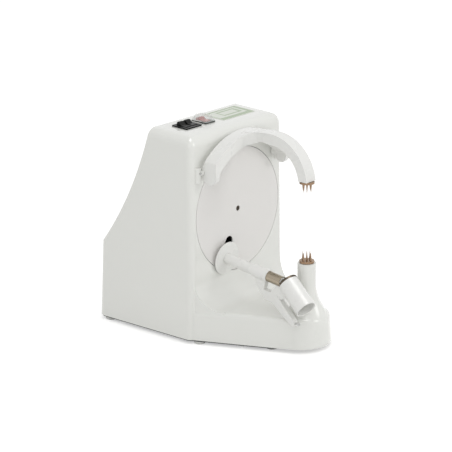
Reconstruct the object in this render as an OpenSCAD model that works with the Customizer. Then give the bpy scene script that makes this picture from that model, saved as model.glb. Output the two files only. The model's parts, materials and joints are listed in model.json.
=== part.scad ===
// Electric peeler for citrus fruit and potatoes.
// The fruit stands on a driven spindle and a turntable carries the blade round it.
// Millimetres, +Z up, front towards -Y, origin at the centre of the footprint.

/* [Body] */
// Width of the tower at its lower edge
body_width = 204; // [198:1:212]
// Width of the tower at its top
body_top_width = 197; // [192:1:200]
// Height of the housing above its lower edge, at the top's rear edge
body_height = 295; // [290:1:310]
// Length of the tower at its foot, from the turntable face to the rear wall
tower_depth = 181; // [178:1:192]
// How far the rear wall leans forward over its height
rear_lean = 6; // [4:0.5:8]
// Length of the top, front to back
top_depth = 78; // [76:1:86]
// Slope of the top down towards the front, in degrees
top_tilt = 2.7; // [2:0.1:3.4]
// Height of the rear wall
rear_wall_height = 112; // [104:1:120]
// Radius of the hollow rear slope
slope_radius = 552; // [500:10:900]
// Wall thickness of the housing
wall = 3; // [2.5:0.1:3.5]
// Radius of the upright edges
corner_radius = 10; // [8:1:14]
// Radius of the edges round the top
top_edge_radius = 15; // [11:1:17]

/* [Toe] */
// Distance from the turntable face forward to the spindle axis
spindle_reach = 124; // [122:0.5:127]
// Radius of the rounded tip
toe_tip_radius = 43.5; // [42:0.5:45]
// Distance of the tip's centre behind the spindle axis
toe_tip_setback = 11.5; // [10:0.5:13]
// Height of the toe
toe_height = 43; // [41:1:46]
// Radius of the toe's upper edge
toe_edge_radius = 8; // [6:1:9]
// How far the toe's sides lean in over its height
toe_draft = 1.5; // [1:0.5:2.5]
// Radius of the hollow between toe and tower
toe_fillet = 38; // [30:1:38]
// Diameter of the spindle post
post_diameter = 26; // [25.4:0.2:27]
// Height of the spindle post above the lower edge
post_height = 116; // [113:1:119]
// Height at which the post's flared foot runs into the straight post
flare_top = 86; // [84:0.5:88]
// Radius of the flare's two bends
flare_bend = 60; // [58:0.5:61]

/* [Feet and base] */
// Height of the lower edge above the table
foot_height = 6; // [5.6:0.2:9]
// Diameter of each rubber foot
foot_diameter = 16; // [12:1:18]
// Thickness of the base plate
base_thickness = 2; // [1.5:0.1:2.5]
// How far the base plate stays inside the housing's outline
base_inset = 2; // [1.5:0.5:4]

/* [Turntable] */
// Height of the turntable axis above the lower edge
axis_height = 171; // [168:1:180]
// Diameter of the turntable disc
turntable_diameter = 178; // [172:1:180]
// Thickness of the turntable disc
turntable_thickness = 4; // [3:0.5:5]
// Gap round the turntable's rim
turntable_gap = 0.8; // [0.6:0.1:1.5]
// Diameter of the turntable shaft
turntable_shaft_diameter = 12; // [10:0.5:14]
// Distance from the turntable face back to the chassis plate
chassis_setback = 58; // [56:1:62]
// Thickness of the chassis plate
chassis_thickness = 2.5; // [2:0.5:3]
// Tooth size of the turntable drive
gear_module = 1.5;  // [1.5:0.25:1.5]
// Teeth on the turntable gear
gear_teeth = 60; // [54:1:62]
// Teeth on the drive pinion
pinion_teeth = 15; // [14:1:18]
// Width of the turntable gear
gear_width = 8; // [6:0.5:9]

/* [Blade arm] */
// Sideways place of the arm, left of the turntable axis
arm_offset = 31; // [30:0.5:31.5]
// Distance of the arm below the turntable axis, at the flange
arm_drop = 65.4; // [64.4:0.2:66]
// Downward tilt of the arm in degrees
arm_tilt = 7.8; // [7:0.1:8]
// Outer diameter of the arm tube
arm_tube_diameter = 15; // [14.6:0.1:15]
// Wall of the arm tube
arm_tube_wall = 1.5; // [1:0.1:2]
// Distance of the arm's pivot behind the turntable face
arm_pivot_setback = 42; // [40:1:44]
// Diameter of the flange on the arm
flange_diameter = 48.6; // [44:0.2:48.8]
// Thickness of the flange
flange_thickness = 2; // [1.5:0.1:2.5]
// Gap from the turntable face to the flange
flange_standoff = 4.3; // [4.2:0.1:4.6]
// Width of the slot in the turntable
slot_width = 16; // [15.4:0.2:17]
// Diameter of the arm's pivot pin
arm_pin_diameter = 5; // [4:0.5:6]

/* [Blade head] */
// Outer diameter of the pivot sleeve
sleeve_diameter = 15.3; // [15.2:0.1:15.8]
// Distance from the arm's pivot to the front end of the sleeve
sleeve_end = 149; // [147:0.5:150]
// Length of the pivot sleeve
sleeve_length = 50; // [48:0.5:52]
// Outer diameter of the collar that turns on the sleeve
collar_diameter = 17.8; // [17.6:0.1:18.2]
// Length of the collar
collar_length = 26; // [24:0.5:26]
// Length of the peel tube
peel_length = 47; // [44:1:50]
// Outer diameter of the peel tube at the blade
peel_top_diameter = 29.4; // [28:0.2:29.8]
// Outer diameter of the peel tube at its open end
peel_end_diameter = 30.2; // [29:0.2:31]
// Wall of the peel tube
peel_wall = 1.8; // [1.4:0.1:2.2]
// Downward pitch of the peel tube in degrees
peel_pitch = 36.5; // [36:0.1:37.5]
// Outward yaw of the peel tube in degrees
peel_yaw = 11.5; // [11:0.1:12.5]
// Distance of the peel tube's blade end left of the turntable axis
peel_offset = 32.6; // [32:0.1:33]
// Distance of the peel tube's blade end in front of the turntable face
peel_forward = 117.9; // [117.5:0.1:118.7]
// Distance of the peel tube's blade end below the turntable axis
peel_drop = 78.1; // [77.6:0.1:78.6]
// Width of the ring blade
blade_width = 3.2; // [2.6:0.1:3.6]
// Thickness of the ring blade
blade_thickness = 1; // [0.8:0.1:1.4]

/* [Upper arm] */
// Height of the hinge axis above the turntable axis
hinge_rise = 70; // [69:0.5:71]
// Distance of the hinge axis in front of the turntable face
hinge_forward = 5; // [4.6:0.1:5.4]
// Diameter of the hinge pins
hinge_pin_diameter = 3; // [2.5:0.1:3.2]
// Sideways distance from the middle to each leg's outer face
leg_outer = 79.5; // [79:0.5:80]
// Radius of each leg's rounded lower end
leg_round = 13.5; // [13:0.1:13.8]
// Distance of that rounding's centre in front of the turntable face
leg_forward = 15.6; // [15.2:0.1:16]
// Inner radius of the yoke round the turntable axis
yoke_inner_radius = 100.2; // [99.2:0.1:101]
// Outer radius of the yoke
yoke_outer_radius = 117; // [116:0.5:119]
// Gap between the yoke's rear edge and the turntable face
yoke_setback = 8; // [7.8:0.2:9]
// Depth of the yoke, front to back
yoke_depth = 20.5; // [20:0.5:22]
// Width of the curved arm
arm_width = 20; // [19:0.2:21]
// Inner radius of the curved arm
curve_inner_radius = 50; // [49:0.5:51]
// Outer radius of the curved arm
curve_outer_radius = 65.7; // [65:0.1:67]
// Distance of the curve's centre behind the spindle axis
curve_setback = 57; // [56.5:0.1:57.5]
// Height of the curve's centre above the turntable axis
curve_rise = 55.3; // [54.5:0.1:56]
// Height of the arm's free end above the turntable axis
arm_end_rise = 62; // [61:0.5:64]

/* [Fruit holders] */
// Diameter of the lower and upper holder discs
holder_diameter = 21; // [18:0.5:22]
// Thickness of the holder discs
holder_thickness = 3; // [2:0.5:4]
// Length of the spikes
spike_length = 12; // [8:0.5:13]
// Number of spikes round each disc
spike_count = 4; // [3:1:6]
// Diameter of the spindle shaft
spindle_diameter = 8; // [7:0.5:9]
// Diameter of the upper holder's shaft
upper_shaft_diameter = 5; // [4:0.5:5.5]

/* [Controls] */
// Distance from the front face back to the middle of the switches
switch_setback = 47.6; // [46:0.2:49]
// Sideways place of the double switch, left of the middle
double_switch_offset = 52.4; // [51:0.2:54]
// Width of the double switch frame
double_switch_width = 32.7; // [31.5:0.1:33.4]
// Depth of the switch frames
switch_depth = 27.4; // [26:0.2:28.4]
// Sideways place of the power switch, left of the middle
power_switch_offset = 17.7; // [17:0.1:19]
// Width of the power switch frame
power_switch_width = 20.4; // [20:0.1:21.4]
// Height of the clear cover over the power switch
cover_height = 8; // [7.5:0.5:10]
// Width of the label
label_width = 70; // [60:1:71]
// Depth of the label
label_depth = 40.5; // [34:0.5:42]

/* [Drives] */
// Distance of the spindle motor behind the turntable face
motor_setback = 100; // [90:1:110]
// Diameter of the spindle motor
motor_diameter = 50; // [40:1:54]
// Diameter of the spindle pulley
spindle_pulley_diameter = 40; // [32:1:44]
// Diameter of the motor pulley
motor_pulley_diameter = 20; // [16:1:26]
// Width of the drive belt
belt_width = 6; // [5:0.5:8]
// Thickness of the drive belt
belt_thickness = 1.6; // [1.2:0.1:2]

/* [Hidden] */

$fn = 64;
run = 0.05;      // running clearance round a shaft
seat = 0.02;     // clearance round a piece that is fixed in a bore
gap = 0.3;       // gap between separate pieces that don't fit together
touch = 0.01;    // thickness of a slice that a hull is drawn through

peel_run = cos(peel_pitch) * cos(peel_yaw);
peel_front = peel_forward + peel_length * peel_run + peel_end_diameter / 2 * sqrt(1 - pow(peel_run, 2));
toe_front = spindle_reach - toe_tip_setback + toe_tip_radius;
face_y = (max(peel_front, toe_front) - tower_depth) / 2;
rear_y = face_y + tower_depth;
spindle_y = face_y - spindle_reach;
base_z = foot_height;
axis_z = base_z + axis_height;
post_top_z = base_z + post_height;
disc_radius = turntable_diameter / 2;

// Base screws and feet, as [x, distance behind the turntable face]
toe_screw_forward = 60;
boss_diameter = 9;
screw_diameter = 3;
boss_height = 16;

// Rear drive, set out from the chassis plate
gear_gap = 4;
gear_front = chassis_setback + chassis_thickness + gear_gap;
gear_pitch_radius = gear_module * gear_teeth / 2;
pinion_pitch_radius = gear_module * pinion_teeth / 2;
mesh_distance = gear_pitch_radius + pinion_pitch_radius;
tooth_slack = 0.12;
gearbox_front = gear_front + gear_width + gear_gap;
gearbox_depth = 18;
gearbox_height = 68;
gearbox_foot_inset = 5;
gearbox_left = mesh_distance - 11;
gearbox_right = mesh_distance + 24;
turntable_motor_diameter = 34;
turntable_motor_length = 26;
turntable_motor_drop = 15;
pinion_shaft_diameter = 6;
chassis_screw_x = 70;
chassis_screw_low = -88;
chassis_top_clearance = 36;
chassis_screw_high = body_height - axis_height - chassis_top_clearance;
chassis_margin = 7;
chassis_screw_places = [for (x = [-1, 1], z = [chassis_screw_low, chassis_screw_high])
    [x * chassis_screw_x, 0, z]];
chassis_boss_diameter = 10;
bearing_diameter = 26;
bearing_front = 20;
bearing_flange_diameter = 44;
bearing_flange_thickness = 3;

// Blade arm, set out from its pivot: the tube runs along -Y, tilted down
arm_x = -arm_offset;
arm_pivot_z = axis_z - arm_drop + (arm_pivot_setback + flange_standoff) * tan(arm_tilt);
arm_pivot_y = face_y + arm_pivot_setback;
rear_spigot = 11;
front_spigot = 12.5;
block_size = 16.4;
block_front = 18;
ear_thickness = 3;
ear_gap = 0.3;
ear_height = 22;
flange_front = arm_pivot_setback + flange_standoff + flange_thickness;
flange_sweep = norm([arm_offset, arm_drop]) + flange_diameter / 2;

// Hinge of the upper arm
lug_gap = 0.6;
lug_radius = 5;
lug_centre = leg_outer + lug_gap + lug_radius + 0.1;
lug_rise_low = hinge_rise - 14;
lug_rise_high = hinge_rise + 7;
lug_ear_width = 4;
ear_radius = 3.2;
pin_grip = 4;
pin_tail = lug_ear_width + 1;
upper_bush_diameter = 8;
upper_bush_length = 8;

// Spindle
bush_diameter = 18;
bush_length = 14;
pulley_z = base_z + 14;
pulley_rim = 1.5;
motor_y = face_y + motor_setback;
motor_z = base_z + 30;
motor_length = 62;
bracket_thickness = 2;
bracket_width = 64;
motor_shaft_diameter = 6;

// Top panel
switch_flange = 2;
switch_wall = 2;
switch_body = 22;
rocker_gap = 0.6;
label_thickness = 0.4;
label_x = 40;
label_setback = 49.5;

function arc(x, y, r, from, to, steps) =
    [for (i = [0:steps]) let (a = from + (to - from) * i / steps) [x + r * cos(a), y + r * sin(a)]];

// Half the tower's width at a height above its lower edge
function half_width(h) = (body_width + (body_top_width - body_width) * h / body_height) / 2;

// The slope runs along one arc between the top's rear edge and the rear wall
slope_top = [top_depth, body_height];
slope_foot = [tower_depth - rear_lean, rear_wall_height];
slope_chord = slope_foot - slope_top;
slope_centre = (slope_top + slope_foot) / 2 + [-slope_chord[1], slope_chord[0]] / norm(slope_chord)
    * sqrt(pow(slope_radius, 2) - pow(norm(slope_chord) / 2, 2));
slope_edge_radius = 9;
slope_half_width = body_width / 2 + 0.5;

// Height of the top above the lower edge, at a distance behind the front face
function top_height(y) = body_height - (top_depth - y) * tan(top_tilt);

// Distance of the rear wall behind the front face, at a height above the lower edge
function rear_wall(h) = tower_depth - rear_lean * h / rear_wall_height;

// Outline of the toe from above, y measured from the turntable face
toe_centre = [0, toe_tip_setback - spindle_reach];

function toe_angle(corner, r) =
    let (d = corner - toe_centre) atan2(d[1], d[0]) - acos(r / norm(d));

function toe_outline(h, inset) =
    let (corner = [half_width(h) - inset - 0.2, corner_radius + 1],
         r = toe_tip_radius - inset,
         start = toe_angle(corner, r))
    concat([corner], arc(0, toe_centre[1], r, start, -180 - start, 24), [[-corner[0], corner[1]]]);

// Half the toe's width at its foot, a distance behind the face and drawn in by an inset
function toe_half_width(y, inset) =
    let (corner = [half_width(0) - inset, corner_radius],
         r = toe_tip_radius - inset,
         start = toe_angle(corner, r),
         end = toe_centre + r * [cos(start), sin(start)])
    end[0] + (corner[0] - end[0]) * (y - end[1]) / (corner[1] - end[1]);

module rounded_rectangle(width, depth, r) {
    x = width / 2 - r;
    y = depth / 2 - r;
    polygon(concat(arc(x, y, r, 0, 90, 6), arc(-x, y, r, 90, 180, 6),
                   arc(-x, -y, r, 180, 270, 6), arc(x, -y, r, 270, 360, 6)));
}

// Draws its children with y from the turntable face and z from the turntable axis
module from_axis() translate([0, face_y, axis_z]) children();

// Draws its children with y from the turntable face and z from the lower edge
module from_base() translate([0, face_y, base_z]) children();

// Draws its children in the arm's own frame: pivot at the origin, tube along -Y
module arm_frame() translate([arm_x, arm_pivot_y, arm_pivot_z]) rotate([arm_tilt, 0, 0]) children();

// Draws its children in the peel tube's frame: blade end at the origin, tube along +Z
module peel_frame() from_axis() translate([-peel_offset, -peel_forward, -peel_drop])
    rotate([90 + peel_pitch, 0, -peel_yaw]) children();

// Rounds a cylinder's axis: a rod along Y from y0 to y1
module rod_y(r, y0, y1) translate([0, y1, 0]) rotate([90, 0, 0]) cylinder(r = r, h = y1 - y0);

// A rod along X from x0 to x1
module rod_x(r, x0, x1) translate([x0, 0, 0]) rotate([0, 90, 0]) cylinder(r = r, h = x1 - x0);

// A block given by its lowest and highest corners
module block(low, high) translate(low) cube(high - low);

// Draws its children on the sloping top, x and distance behind the front face given
module on_top(x, setback)
    translate([x, face_y + setback, base_z + top_height(setback)]) rotate([top_tilt, 0, 0]) children();

// Draws its children on the leaning rear wall at a height above the lower edge
module on_rear(x, h)
    translate([x, face_y + rear_wall(h), base_z + h])
        rotate([atan(rear_lean / rear_wall_height), 0, 0]) children();

// A slice of the tower at height h, from the front face back to a given depth
module tower_slice(h, depth, inset, shrink)
    translate([0, depth / 2, h - touch]) linear_extrude(touch)
        rounded_rectangle(2 * (half_width(h) - inset - shrink), depth - 2 * (inset + shrink),
                          max(corner_radius - inset - shrink, 0.5));

module tower_block(inset, low) {
    r = top_edge_radius - inset;
    hull() {
        tower_slice(low, rear_wall(low), inset, 0);
        tower_slice(rear_wall_height + 7, rear_wall(rear_wall_height + 7), inset, 0);
        multmatrix([[1, 0, 0, 0], [0, 1, 0, 0], [0, tan(top_tilt), 1, -top_depth * tan(top_tilt)]])
            for (a = [0:18:90])
                tower_slice(body_height - inset - r + r * sin(a), top_depth + 12, inset, r * (1 - cos(a)));
    }
}

// The hollow rear slope with its rounded side edges, as the space in front of it
module slope_body(inset) {
    near = slope_radius + inset;
    far = norm(slope_centre) + 8;
    half = slope_half_width - inset;
    r = slope_edge_radius - inset;
    translate([0, slope_centre[0], slope_centre[1]]) rotate([0, 90, 0]) rotate([0, 0, -87])
        rotate_extrude(angle = 52, $fn = 150)
            polygon(concat(arc(near + r, half - r, r, 180, 90, 4), [[far, half], [far, -half]],
                           arc(near + r, r - half, r, 270, 180, 4)));
}

module tower(inset, low) intersection() {
    tower_block(inset, low);
    slope_body(inset);
}

module toe(inset, low) {
    r = toe_edge_radius - inset;
    hull() {
        translate([0, 0, low]) linear_extrude(touch) polygon(toe_outline(0, inset));
        for (a = [0:22.5:90])
            translate([0, 0, toe_height - inset - r + r * sin(a) - touch]) linear_extrude(touch)
                polygon(toe_outline(toe_height, inset + toe_draft + r * (1 - cos(a))));
    }
}

// The hollow where the toe's top runs up into the tower's face
module toe_hollow() intersection() {
    rotate([90, 0, 90]) linear_extrude(body_width, center = true)
        polygon(concat([[wall, toe_height - wall - 1], [wall, toe_height + toe_fillet]],
                       arc(-toe_fillet, toe_height + toe_fillet, toe_fillet, 0, -90, 10),
                       [[-toe_fillet, toe_height - wall - 1]]));
    linear_extrude(toe_height + toe_fillet + 1)
        polygon(toe_outline(toe_height + toe_fillet, toe_edge_radius / 3));
}

// The post, which flares out to the rounded tip of the toe
module post() {
    r = post_diameter / 2;
    turn = 33;
    run_out = 2 * flare_bend * (1 - cos(turn));
    low = [r + run_out - flare_bend, flare_top - 2 * flare_bend * sin(turn)];
    intersection() {
        translate([0, -spindle_reach, 0]) rotate_extrude()
            polygon(concat([[0, low[1]]], arc(low[0], low[1], flare_bend, 0, turn, 6),
                           arc(r + flare_bend, flare_top, flare_bend, 180 + turn, 180, 8),
                           [[r, post_height], [0, post_height]]));
        linear_extrude(post_height + 1) polygon(toe_outline(0, toe_draft / 2));
    }
}

// Base screws beside the walls, where their bosses are joined to the housing
boss_grip = 0.8;
boss_inset = wall + boss_diameter / 2 - boss_grip;
front_screw_setback = 34;
rear_screw_inset = 42;
base_screw_places = [
    for (x = [-1, 1]) each [
        [x * (body_width / 2 - boss_inset), front_screw_setback],
        [x * (body_width / 2 - boss_inset), tower_depth - rear_screw_inset],
        [x * toe_half_width(-toe_screw_forward, boss_inset), -toe_screw_forward]]];

foot_places = [
    for (x = [-1, 1]) each [[x * (body_width / 2 - 14.5), -2],
                            [x * (body_width / 2 - foot_diameter / 2 - 1.5), tower_depth - 16],
                            [x * 39.6, -94]]];

module hinge_lug(side) {
    inner = side * (leg_outer + lug_gap);
    ear = side * (leg_outer + lug_gap + lug_ear_width);
    translate([side * lug_centre, 0, lug_rise_low])
        cylinder(r = lug_radius, h = lug_rise_high - lug_rise_low);
    translate([0, -hinge_forward, hinge_rise]) rod_x(ear_radius, min(inner, ear), max(inner, ear));
    block([min(inner, ear), -hinge_forward, hinge_rise - ear_radius],
          [max(inner, ear), 0.5, hinge_rise + ear_radius]);
}

// Lip behind the turntable's rim, which keeps juice out of the drive
lip_width = 1.8;
lip_thickness = 1.6;

module turntable_lip()
    rod_y(disc_radius + turntable_gap + wall, wall - 1, turntable_thickness + turntable_gap + lip_thickness);

module main_housing() color("#e6e6e2") difference() {
    union() {
        difference() {
            from_base() union() {
                tower(0, 0);
                toe(0, 0);
                toe_hollow();
                post();
            }
            from_base() {
                tower(wall, -1);
                toe(wall, -1);
            }
        }
        from_base() for (p = base_screw_places) translate([p[0], p[1], 0.2])
            cylinder(d = boss_diameter, h = boss_height);
        from_axis() for (p = chassis_screw_places)
            translate(p) rod_y(chassis_boss_diameter / 2, wall - 1, chassis_setback);
        from_axis() turntable_lip();
        from_axis() for (side = [-1, 1]) hinge_lug(side);
    }
    from_axis() rod_y(disc_radius + turntable_gap, -toe_fillet, turntable_thickness + turntable_gap);
    from_axis() rod_y(disc_radius - lip_width, 0, wall + turntable_thickness + lip_thickness);
    from_base() translate([0, -spindle_reach, toe_height - wall - 1])
        cylinder(d = bush_diameter, h = post_height);
    from_base() for (p = base_screw_places) translate([p[0], p[1], -1])
        cylinder(d = screw_diameter, h = boss_height - 2);
    from_axis() for (p = chassis_screw_places)
        translate(p) rod_y(screw_diameter / 2, chassis_setback - 12, chassis_setback + 1);
    from_axis() for (side = [-1, 1]) translate([0, -hinge_forward, hinge_rise])
        rod_x(hinge_pin_diameter / 2 + seat, side > 0 ? leg_outer : -leg_outer - pin_tail - 2,
              side > 0 ? leg_outer + pin_tail + 2 : -leg_outer);
    switch_opening(-double_switch_offset, double_switch_width);
    switch_opening(-power_switch_offset, power_switch_width);
    inlet_opening();
    for (x = [-48:8:48]) translate([x, rear_y - 14, base_z + 66]) cube([3, 16, 26]);
}

module switch_opening(x, width) on_top(x, switch_setback) translate([0, 0, -wall - 1])
    linear_extrude(wall + 2) square([width - 2 * switch_wall, switch_depth - 2 * switch_wall], center = true);

// Power inlet on the rear wall
inlet_width = 48;
inlet_height = 24;
inlet_x = 52;
inlet_z = 34;
inlet_pocket = 2;

module inlet_opening() on_rear(inlet_x, inlet_z) {
    block([-inlet_width / 2 - seat, -inlet_pocket, -inlet_height / 2 - seat],
          [inlet_width / 2 + seat, 1, inlet_height / 2 + seat]);
    block([-14, -wall - 1, -inlet_height / 2 + 1.5], [14, 0, inlet_height / 2 - 1.5]);
}

module power_inlet() color("#202122") on_rear(inlet_x, inlet_z) difference() {
    union() {
        block([-inlet_width / 2, -inlet_pocket, -inlet_height / 2], [inlet_width / 2, 0, inlet_height / 2]);
        block([-13.8, -20, -inlet_height / 2 + 1.7], [13.8, -inlet_pocket, inlet_height / 2 - 1.7]);
    }
    block([-12, -17, -8], [12, 1, 8]);
    for (x = [-1, 1]) translate([x * 20, 0, 0]) rod_y(1.7, -inlet_pocket - 1, 1);
}

// The plate stops short of the rounded tip, in front of the foremost feet
plate_front = 104;

module base_plate() color("#3b423f") difference() {
    from_base() translate([0, 0, -base_thickness]) union() {
        linear_extrude(base_thickness) translate([0, tower_depth / 2])
            rounded_rectangle(body_width - 2 * base_inset, tower_depth - 2 * base_inset,
                              corner_radius - base_inset);
        intersection() {
            linear_extrude(base_thickness) polygon(toe_outline(0, base_inset));
            block([-body_width / 2, -plate_front, -1],
                  [body_width / 2, corner_radius + 1, base_thickness + 1]);
        }
    }
    from_base() for (p = base_screw_places) translate([p[0], p[1], -base_thickness - 1])
        cylinder(d = screw_diameter + 0.4, h = base_thickness + 2);
    from_base() for (p = foot_places) translate([p[0], p[1], -base_thickness - 1])
        cylinder(d = foot_diameter / 2, h = base_thickness + 2);
}

// Rubber feet: a dome under the plate and a plug that is pressed through it
module rubber_feet() color("#b9bab4") from_base() for (p = foot_places) {
    h = foot_height - base_thickness;
    translate([p[0], p[1], -foot_height]) rotate_extrude()
        polygon(concat([[0, 0], [foot_diameter / 2 - h, 0]],
                       arc(foot_diameter / 2 - h, h, h, -90, 0, 6), [[0, h]]));
    translate([p[0], p[1], -base_thickness])
        cylinder(d = foot_diameter / 2 - 2 * seat, h = base_thickness + 2);
}

module base_screws() color("#9a9a98") from_base() for (p = base_screw_places) {
    translate([p[0], p[1], -base_thickness - 2]) difference() {
        cylinder(d = 6.4, h = 2);
        translate([0, 0, -1]) cube([4, 1, 3.6], center = true);
    }
    translate([p[0], p[1], -base_thickness]) cylinder(d = screw_diameter - 2 * seat, h = boss_height - 4);
}

module control_label() color("#dfe6d8") on_top(label_x, label_setback) linear_extrude(label_thickness)
    rounded_rectangle(label_width, label_depth, 3);

// Frame of a panel switch: a flange on the panel and an open box below it
module switch_frame(x, width) on_top(x, switch_setback) difference() {
    union() {
        linear_extrude(switch_flange) rounded_rectangle(width, switch_depth, 1);
        translate([0, 0, -switch_body]) linear_extrude(switch_body + 0.1)
            square([width - 2 * switch_wall - gap, switch_depth - 2 * switch_wall - gap], center = true);
    }
    translate([0, 0, -switch_body + 6]) linear_extrude(switch_body + switch_flange)
        square([width - 4 * switch_wall, switch_depth - 4 * switch_wall], center = true);
}

module double_switch_frame() color("#1b1c1b") {
    switch_frame(-double_switch_offset, double_switch_width);
    on_top(-double_switch_offset, switch_setback)
        block([-1.2, -switch_depth / 2 + 2 * switch_wall - 0.1, -switch_body + 5.9],
              [1.2, switch_depth / 2 - 2 * switch_wall + 0.1, switch_flange]);
}

module power_switch_frame() color("#e3e4e0") switch_frame(-power_switch_offset, power_switch_width);

rocker_width = (double_switch_width - 4 * switch_wall - 2.4) / 2 - 2 * rocker_gap;
rocker_length = switch_depth - 4 * switch_wall - 4 * rocker_gap;
rocker_axis_drop = 1.5;

// A rocker that pivots about X, with a raised lobe at its rear half
module rocker(width, lobe) {
    r = rocker_length / 2;
    rotate([90, 0, 90]) linear_extrude(width, center = true)
        polygon([[-r, rocker_axis_drop - 0.5], [-r * 0.8, -6], [r * 0.8, -6], [r, rocker_axis_drop - 0.5],
                 [r * 0.98, rocker_axis_drop + lobe], [r * 0.55, rocker_axis_drop + lobe + 0.6],
                 [0, rocker_axis_drop + 1.2], [-r * 0.98, rocker_axis_drop + 1]]);
}

module rocker_place(x) on_top(x, switch_setback) translate([0, 0, switch_flange - rocker_axis_drop - 0.5])
    children();

module left_rocker() color("#171918")
    rocker_place(-double_switch_offset - rocker_width / 2 - 1.2 - rocker_gap) rocker(rocker_width, 5);

module right_rocker() color("#171918")
    rocker_place(-double_switch_offset + rocker_width / 2 + 1.2 + rocker_gap) rocker(rocker_width, 5);

module power_rocker() color("#b0403c")
    rocker_place(-power_switch_offset) rocker(power_switch_width - 4 * switch_wall - 2 * rocker_gap, 3.4);

// Clear moulded cover that keeps juice out of the power switch
module splash_cover() color([0.9, 0.93, 0.93, 0.35])
    on_top(-power_switch_offset, switch_setback) translate([0, 0, switch_flange]) difference() {
        hull() {
            linear_extrude(1) rounded_rectangle(power_switch_width, switch_depth, 2.5);
            translate([0, 0, cover_height - 1]) linear_extrude(1)
                rounded_rectangle(power_switch_width - 6, switch_depth - 6, 3);
        }
        hull() {
            translate([0, 0, -1]) linear_extrude(1)
                rounded_rectangle(power_switch_width - 1.6, switch_depth - 1.6, 2);
            translate([0, 0, cover_height - 1.8]) linear_extrude(1)
                rounded_rectangle(power_switch_width - 7.6, switch_depth - 7.6, 2);
        }
    }

// Circuit board on four posts that stand on the base plate
board_x = 52 - body_width / 2;
board_y = tower_depth - 33;
board_z = 12;

module circuit_board() color("#3c6b49") from_base() translate([board_x, board_y, 0]) {
    translate([0, 0, board_z]) linear_extrude(1.6) square([50, 44], center = true);
    for (x = [-1, 1], y = [-1, 1]) translate([x * 20, y * 17, 0]) cylinder(d = 6, h = board_z);
    block([-16, -14, board_z + 1.6], [2, 4, board_z + 18]);
    block([6, -16, board_z + 1.6], [20, -4, board_z + 14]);
    translate([12, 10, board_z + 1.6]) cylinder(d = 10, h = 16);
}

module chassis_plate() color("#b4b7b8") difference() {
    from_axis()
        translate([0, chassis_setback + chassis_thickness, (chassis_screw_low + chassis_screw_high) / 2])
            rotate([90, 0, 0]) linear_extrude(chassis_thickness)
                rounded_rectangle(2 * (chassis_screw_x + chassis_margin),
                                  chassis_screw_high - chassis_screw_low + 2 * chassis_margin, 6);
    from_axis() rod_y(turntable_shaft_diameter / 2 + 2, 0, 2 * chassis_setback);
    from_axis() translate([mesh_distance, 0, 0])
        rod_y(pinion_pitch_radius + 4, 0, 2 * chassis_setback);
    from_axis() for (p = chassis_screw_places)
        translate(p) rod_y(screw_diameter / 2 + 0.2, 0, 2 * chassis_setback);
    from_axis() for (x = [gearbox_left, gearbox_right], z = [-1, 1])
        gearbox_corner(x, z) rod_y(screw_diameter / 2 + 0.2, 0, 2 * chassis_setback);
}

module chassis_screws() color("#9a9a98") from_axis() for (p = chassis_screw_places)
    translate(p) {
        rod_y(screw_diameter / 2 - seat, chassis_setback - 11, chassis_setback + chassis_thickness);
        rod_y(3, chassis_setback + chassis_thickness, chassis_setback + chassis_thickness + 2.4);
    }

module turntable_bearing() color("#8f9496") from_axis() difference() {
    union() {
        rod_y(bearing_diameter / 2, bearing_front, chassis_setback);
        rod_y(bearing_flange_diameter / 2, chassis_setback - bearing_flange_thickness, chassis_setback);
    }
    rod_y(turntable_shaft_diameter / 2 + run, 0, 2 * chassis_setback);
}

// Microswitch that the arm bracket presses when the arm is parked
module limit_switch() color("#2b2d30") from_axis() {
    rear = chassis_setback;
    block([-arm_offset - 10, rear - 4, -arm_drop + 2], [-arm_offset + 10, rear, -arm_drop + 13]);
}

// Outline of a slot between two places, x and z given
function slot_outline(a, b, radius) =
    let (d = b - a, turn = atan2(d[1], d[0]))
    concat(arc(b[0], b[1], radius, turn - 90, turn + 90, 16),
           arc(a[0], a[1], radius, turn + 90, turn + 270, 16));

// Slot for the arm: upright under the flange, with a branch towards the middle
slot_lip = 1.4;
slot_relief = 2.5;

module arm_slot(radius, from, to) rotate([90, 0, 0]) translate([0, 0, -to]) linear_extrude(to - from) {
    polygon(slot_outline([-arm_offset, -arm_drop - 1.6], [-arm_offset, -arm_drop + 10.4], radius));
    polygon(slot_outline([-arm_offset + 0.7, -arm_drop - 0.3], [-arm_offset + 11, -arm_drop + 20.9], radius));
}

// The slot's edge is thin at the front and opens out behind it
module turntable_disc() color("#dcd9d4") from_axis() difference() {
    rod_y(disc_radius, 0, turntable_thickness);
    arm_slot(slot_width / 2, -1, turntable_thickness + 1);
    arm_slot(slot_width / 2 + slot_relief, slot_lip, turntable_thickness + 1);
    rod_y(centre_screw_head / 2 + 0.4, -1, centre_screw_depth);
    rod_y(centre_screw_diameter / 2 + 0.1, 0, turntable_thickness + 1);
}

centre_screw_head = 7;
centre_screw_depth = 2.4;
centre_screw_diameter = 4;
hub_diameter = 36;
hub_thickness = 5;

module centre_screw() color("#6d6a66") from_axis() difference() {
    union() {
        rod_y(centre_screw_head / 2, 0.5, centre_screw_depth);
        rod_y(centre_screw_diameter / 2 - seat, centre_screw_depth, 18);
    }
    for (a = [0, 90]) rotate([0, a, 0]) block([-2.4, 0, -0.5], [2.4, 1.5, 0.5]);
}

module turntable_shaft() color("#a7abad") from_axis() difference() {
    union() {
        rod_y(hub_diameter / 2, turntable_thickness, turntable_thickness + hub_thickness);
        rod_y(turntable_shaft_diameter / 2, turntable_thickness, gear_front + gear_width);
    }
    rod_y(centre_screw_diameter / 2, turntable_thickness - 1, 20);
    rod_y(1.5, gear_front + gear_width - 10, gear_front + gear_width + 1);
}

// Outline of a gear with straight-sided teeth
function tooth(a, radius, half) = [radius * cos(a) - half * sin(a), radius * sin(a) + half * cos(a)];

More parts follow.
